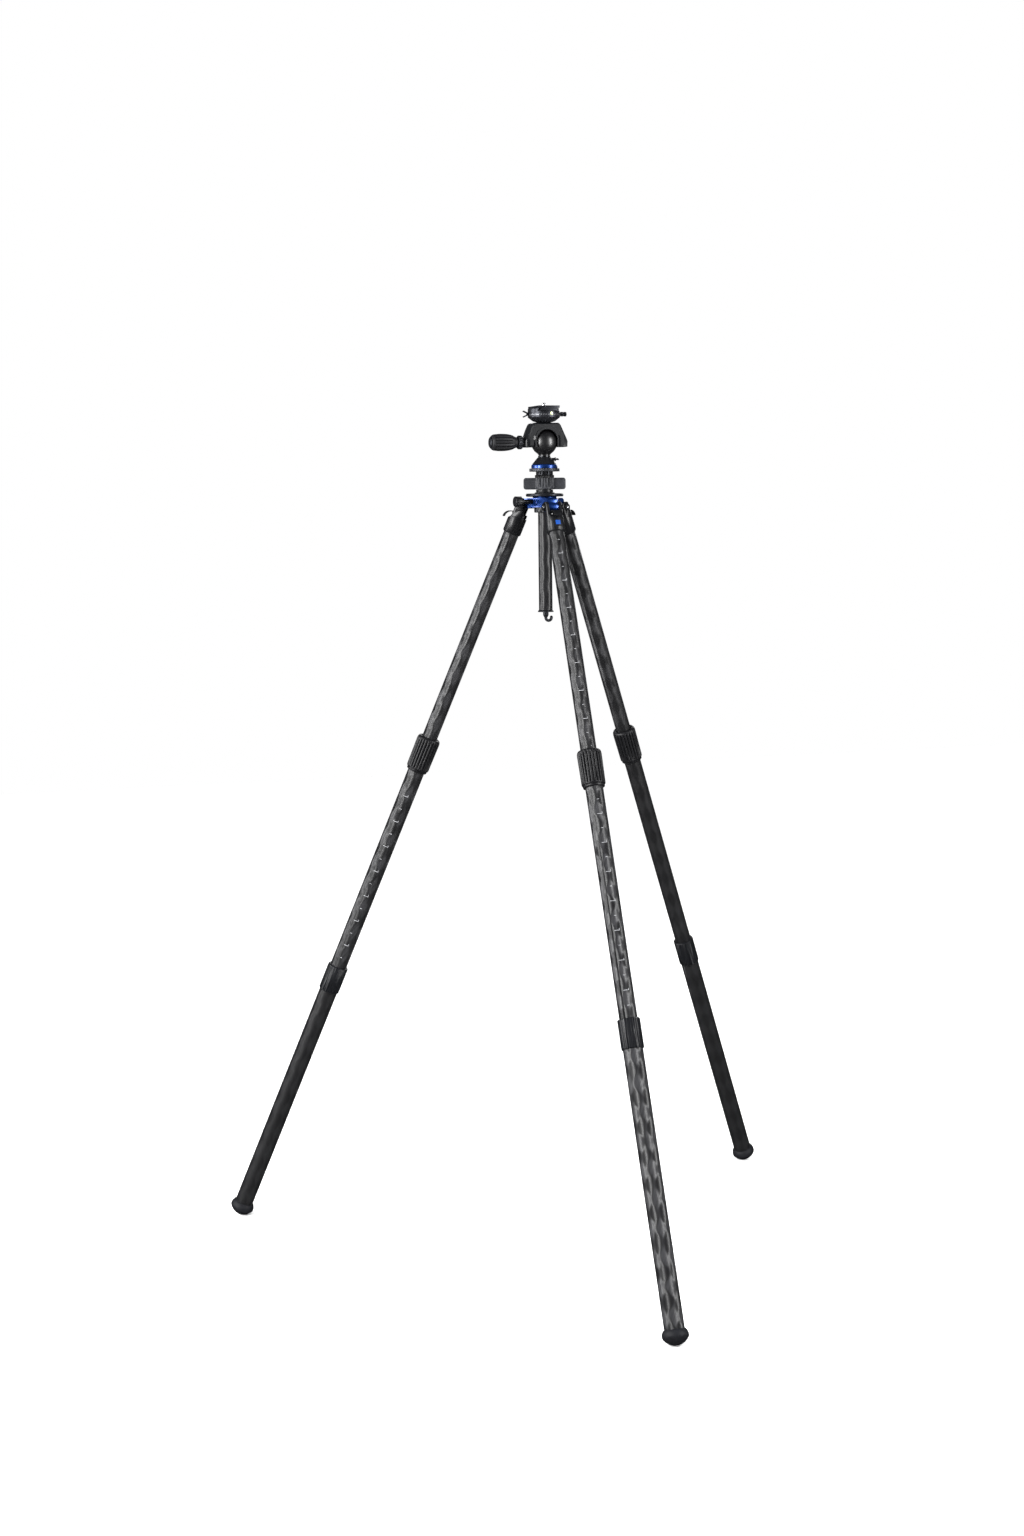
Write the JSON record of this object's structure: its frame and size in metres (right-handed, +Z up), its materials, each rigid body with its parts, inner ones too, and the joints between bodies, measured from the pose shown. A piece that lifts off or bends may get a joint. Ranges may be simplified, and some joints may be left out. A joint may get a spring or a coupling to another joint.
{
  "type": "camera tripod",
  "caption": "Camera tripod with twist-lock carbon legs, a sliding centre column and a ball-mounted pan and tilt head with a grip handle.",
  "frame": {"origin": "on the floor, at the middle of the bounding box of the three-footed stance", "axes": "+Z up along the centre column, -X along the pan handle, -Y towards the front leg"},
  "size_m": [1.0676, 0.9306, 1.4942],
  "materials": {
    "carbon_tube": "satin clear coat over woven carbon",
    "casting_black": "satin",
    "anodised_blue": "satin anodised",
    "anodised_black": "satin anodised",
    "knurled_black": "knurled, anodised",
    "lock_rubber": "ribbed, matt",
    "wing_rubber": "fine ribbed, matt",
    "lock_plastic": "satin",
    "foot_rubber": "matt",
    "steel": "turned",
    "bright_ring": "polished",
    "head_black": "satin",
    "grip_rubber": "soft touch",
    "badge_frame": "satin, with a blue enamel inset",
    "cork": "matt",
    "bubble": "clear over a pale liquid",
    "clamp_grey": "satin anodised"
  },
  "bodies": {
    "crown": {"spider": "anodised_blue", "crown_plate": "anodised_black", "column_bushing": "lock_plastic", "lock_base": "lock_plastic", "leg_pivot_bolts": "steel"},
    "side_knob": {"side_knob": "lock_plastic"},
    "column_lock": {"column_lock": "wing_rubber", "lock_cap_ring": "lock_rubber"},
    "column": {"column_tube": "carbon_tube", "column_end_cap": "anodised_black", "column_head": "knurled_black", "head_stud": "steel", "pan_ring": "anodised_blue"},
    "weight_hook": {"weight_hook": "anodised_black"},
    "pan_base": {"pan_cone": "anodised_black", "ball_stem": "anodised_black", "neck_ring": "bright_ring"},
    "pan_lever": {"pan_lock_lever": "anodised_black"},
    "drag_cup": {"drag_cup": "lock_plastic"},
    "housing": {"housing": "head_black", "handle_rod": "anodised_black"},
    "handle": {"handle_grip": "grip_rubber", "grip_end_cap": "anodised_black"},
    "handle_collar": {"handle_collar": "knurled_black"},
    "clamp": {"clamp_base": "clamp_grey", "spirit_level": "bubble"},
    "clamp_jaw": {"clamp_jaw": "clamp_grey"},
    "clamp_knob": {"clamp_knob": "anodised_black"},
    "wing_screw": {"wing_screw": "anodised_black"},
    "plate": {"quick_release_plate": "anodised_black", "plate_pads": "cork"},
    "camera_screw": {"camera_screw": "steel"},
    "leg_upper_left": {"leg_casting_left": "casting_black", "upper_tube_left": "carbon_tube"},
    "angle_tab_left": {"angle_tab_left": "casting_black"},
    "leg_middle_left": {"middle_tube_left": "carbon_tube"},
    "upper_lock_left": {"upper_lock_left": "lock_rubber"},
    "leg_lower_left": {"lower_tube_left": "carbon_tube", "foot_left": "foot_rubber"},
    "lower_lock_left": {"lower_lock_left": "lock_plastic"},
    "leg_upper_front": {"leg_casting_front": "casting_black", "upper_tube_front": "carbon_tube", "leg_badge": "badge_frame"},
    "angle_tab_front": {"angle_tab_front": "casting_black"},
    "leg_middle_front": {"middle_tube_front": "carbon_tube"},
    "upper_lock_front": {"upper_lock_front": "lock_rubber"},
    "leg_lower_front": {"lower_tube_front": "carbon_tube", "foot_front": "foot_rubber"},
    "lower_lock_front": {"lower_lock_front": "lock_plastic"},
    "leg_upper_right": {"leg_casting_right": "casting_black", "upper_tube_right": "carbon_tube"},
    "angle_tab_right": {"angle_tab_right": "casting_black"},
    "leg_middle_right": {"middle_tube_right": "carbon_tube"},
    "upper_lock_right": {"upper_lock_right": "lock_rubber"},
    "leg_lower_right": {"lower_tube_right": "carbon_tube", "foot_right": "foot_rubber"},
    "lower_lock_right": {"lower_lock_right": "lock_plastic"}
  },
  "joints": [
    {"name": "leg_spread_left", "type": "hinge", "parent": "crown", "child": "leg_upper_left", "pos_m": [-0.03585, 0.16782, 1.31319], "axis": [0.5, 0.866, 0], "range_deg": [-22, 57]},
    {"name": "angle_tab_left", "type": "hinge", "parent": "leg_upper_left", "child": "angle_tab_left", "pos_m": [-0.04691, 0.1742, 1.30514], "axis": [0.5, 0.866, 0], "range_deg": [-20, 0], "stiffness_Nm_per_rad": 0.3},
    {"name": "middle_slide_left", "type": "slide", "parent": "leg_upper_left", "child": "leg_middle_left", "axis": [0.3384, -0.1954, 0.9205], "range_m": [0, 0.385]},
    {"name": "lower_slide_left", "type": "slide", "parent": "leg_middle_left", "child": "leg_lower_left", "axis": [0.3384, -0.1954, 0.9205], "range_m": [0, 0.385]},
    {"name": "upper_lock_twist_left", "type": "hinge", "parent": "leg_middle_left", "child": "upper_lock_left", "pos_m": [-0.19692, 0.26082, 0.87504], "axis": [0.3384, -0.1954, 0.9205], "range_deg": [0, 90]},
    {"name": "lower_lock_twist_left", "type": "hinge", "parent": "leg_lower_left", "child": "lower_lock_left", "pos_m": [-0.34987, 0.34912, 0.45897], "axis": [0.3384, -0.1954, 0.9205], "range_deg": [0, 90]},
    {"name": "leg_spread_front", "type": "hinge", "parent": "crown", "child": "leg_upper_front", "pos_m": [0, 0.10572, 1.31319], "axis": [-1, 0, 0], "range_deg": [-22, 57]},
    {"name": "angle_tab_front", "type": "hinge", "parent": "leg_upper_front", "child": "angle_tab_front", "pos_m": [0, 0.09296, 1.30514], "axis": [-1, 0, 0], "range_deg": [-20, 0], "stiffness_Nm_per_rad": 0.3},
    {"name": "middle_slide_front", "type": "slide", "parent": "leg_upper_front", "child": "leg_middle_front", "axis": [0, 0.3907, 0.9205], "range_m": [0, 0.385]},
    {"name": "lower_slide_front", "type": "slide", "parent": "leg_middle_front", "child": "leg_lower_front", "axis": [0, 0.3907, 0.9205], "range_m": [0, 0.385]},
    {"name": "upper_lock_twist_front", "type": "hinge", "parent": "leg_middle_front", "child": "upper_lock_front", "pos_m": [0, -0.08027, 0.87504], "axis": [0, 0.3907, 0.9205], "range_deg": [0, 90]},
    {"name": "lower_lock_twist_front", "type": "hinge", "parent": "leg_lower_front", "child": "lower_lock_front", "pos_m": [0, -0.25688, 0.45897], "axis": [0, 0.3907, 0.9205], "range_deg": [0, 90]},
    {"name": "leg_spread_right", "type": "hinge", "parent": "crown", "child": "leg_upper_right", "pos_m": [0.03585, 0.16782, 1.31319], "axis": [0.5, -0.866, 0], "range_deg": [-22, 57]},
    {"name": "angle_tab_right", "type": "hinge", "parent": "leg_upper_right", "child": "angle_tab_right", "pos_m": [0.04691, 0.1742, 1.30514], "axis": [0.5, -0.866, 0], "range_deg": [-20, 0], "stiffness_Nm_per_rad": 0.3},
    {"name": "middle_slide_right", "type": "slide", "parent": "leg_upper_right", "child": "leg_middle_right", "axis": [-0.3384, -0.1954, 0.9205], "range_m": [0, 0.385]},
    {"name": "lower_slide_right", "type": "slide", "parent": "leg_middle_right", "child": "leg_lower_right", "axis": [-0.3384, -0.1954, 0.9205], "range_m": [0, 0.385]},
    {"name": "upper_lock_twist_right", "type": "hinge", "parent": "leg_middle_right", "child": "upper_lock_right", "pos_m": [0.19692, 0.26082, 0.87504], "axis": [-0.3384, -0.1954, 0.9205], "range_deg": [0, 90]},
    {"name": "lower_lock_twist_right", "type": "hinge", "parent": "leg_lower_right", "child": "lower_lock_right", "pos_m": [0.34987, 0.34912, 0.45897], "axis": [-0.3384, -0.1954, 0.9205], "range_deg": [0, 90]},
    {"name": "side_knob_turn", "type": "hinge", "parent": "crown", "child": "side_knob", "pos_m": [-0.0538, 0.14241, 1.32319], "axis": [-0.9962, -0.0872, 0], "range_deg": [0, 180]},
    {"name": "column_lock_twist", "type": "hinge", "parent": "crown", "child": "column_lock", "pos_m": [0, 0.14712, 1.3542], "axis": [0, 0, 1], "range_deg": [0, 90]},
    {"name": "column_slide", "type": "slide", "parent": "crown", "child": "column", "axis": [0, 0, 1], "range_m": [0, 0.165]},
    {"name": "hook_swivel", "type": "hinge", "parent": "column", "child": "weight_hook", "pos_m": [0, 0.14712, 1.12319], "axis": [0, 0, 1], "continuous": true},
    {"name": "head_pan", "type": "hinge", "parent": "column", "child": "pan_base", "pos_m": [0, 0.14712, 1.39319], "axis": [0, 0, 1], "continuous": true},
    {"name": "pan_lever_turn", "type": "hinge", "parent": "pan_base", "child": "pan_lever", "pos_m": [0.01631, 0.13951, 1.3964], "axis": [0.9063, -0.4226, 0], "range_deg": [0, 90]},
    {"name": "head_tilt", "type": "hinge", "parent": "pan_base", "child": "drag_cup", "pos_m": [0, 0.14712, 1.42589], "axis": [1, 0, 0], "range_deg": [-25, 80]},
    {"name": "head_lean", "type": "hinge", "parent": "drag_cup", "child": "housing", "pos_m": [0, 0.14712, 1.42589], "axis": [0, 1, 0], "range_deg": [-8, 8]},
    {"name": "handle_twist", "type": "hinge", "parent": "housing", "child": "handle", "pos_m": [-0.076, 0.14712, 1.42589], "axis": [-1, 0, 0], "range_deg": [0, 90]},
    {"name": "handle_collar_twist", "type": "hinge", "parent": "housing", "child": "handle_collar", "pos_m": [-0.045, 0.14712, 1.42589], "axis": [-1, 0, 0], "range_deg": [0, 180]},
    {"name": "clamp_pan", "type": "hinge", "parent": "housing", "child": "clamp", "pos_m": [0, 0.14712, 1.4612], "axis": [0, 0, 1], "continuous": true},
    {"name": "clamp_knob_turn", "type": "hinge", "parent": "clamp", "child": "clamp_knob", "pos_m": [0.034, 0.14712, 1.4748], "axis": [1, 0, 0], "range_deg": [0, 1080]},
    {"name": "jaw_slide", "type": "slide", "parent": "clamp", "child": "clamp_jaw", "axis": [1, 0, 0], "range_m": [0, 0.003]},
    {"name": "wing_screw_turn", "type": "hinge", "parent": "clamp", "child": "wing_screw", "pos_m": [-0.034, 0.14712, 1.4748], "axis": [-1, 0, 0], "range_deg": [0, 360]},
    {"name": "plate_slide", "type": "slide", "parent": "clamp", "child": "plate", "axis": [0, -1, 0], "range_m": [0, 0.06]},
    {"name": "camera_screw_turn", "type": "hinge", "parent": "plate", "child": "camera_screw", "pos_m": [0, 0.14712, 1.4852], "axis": [0, 0, 1], "continuous": true}
  ],
  "couplings": [
    {"joint": "clamp_knob_turn", "follows": "jaw_slide", "rad_per_m": 6283.1}
  ]
}
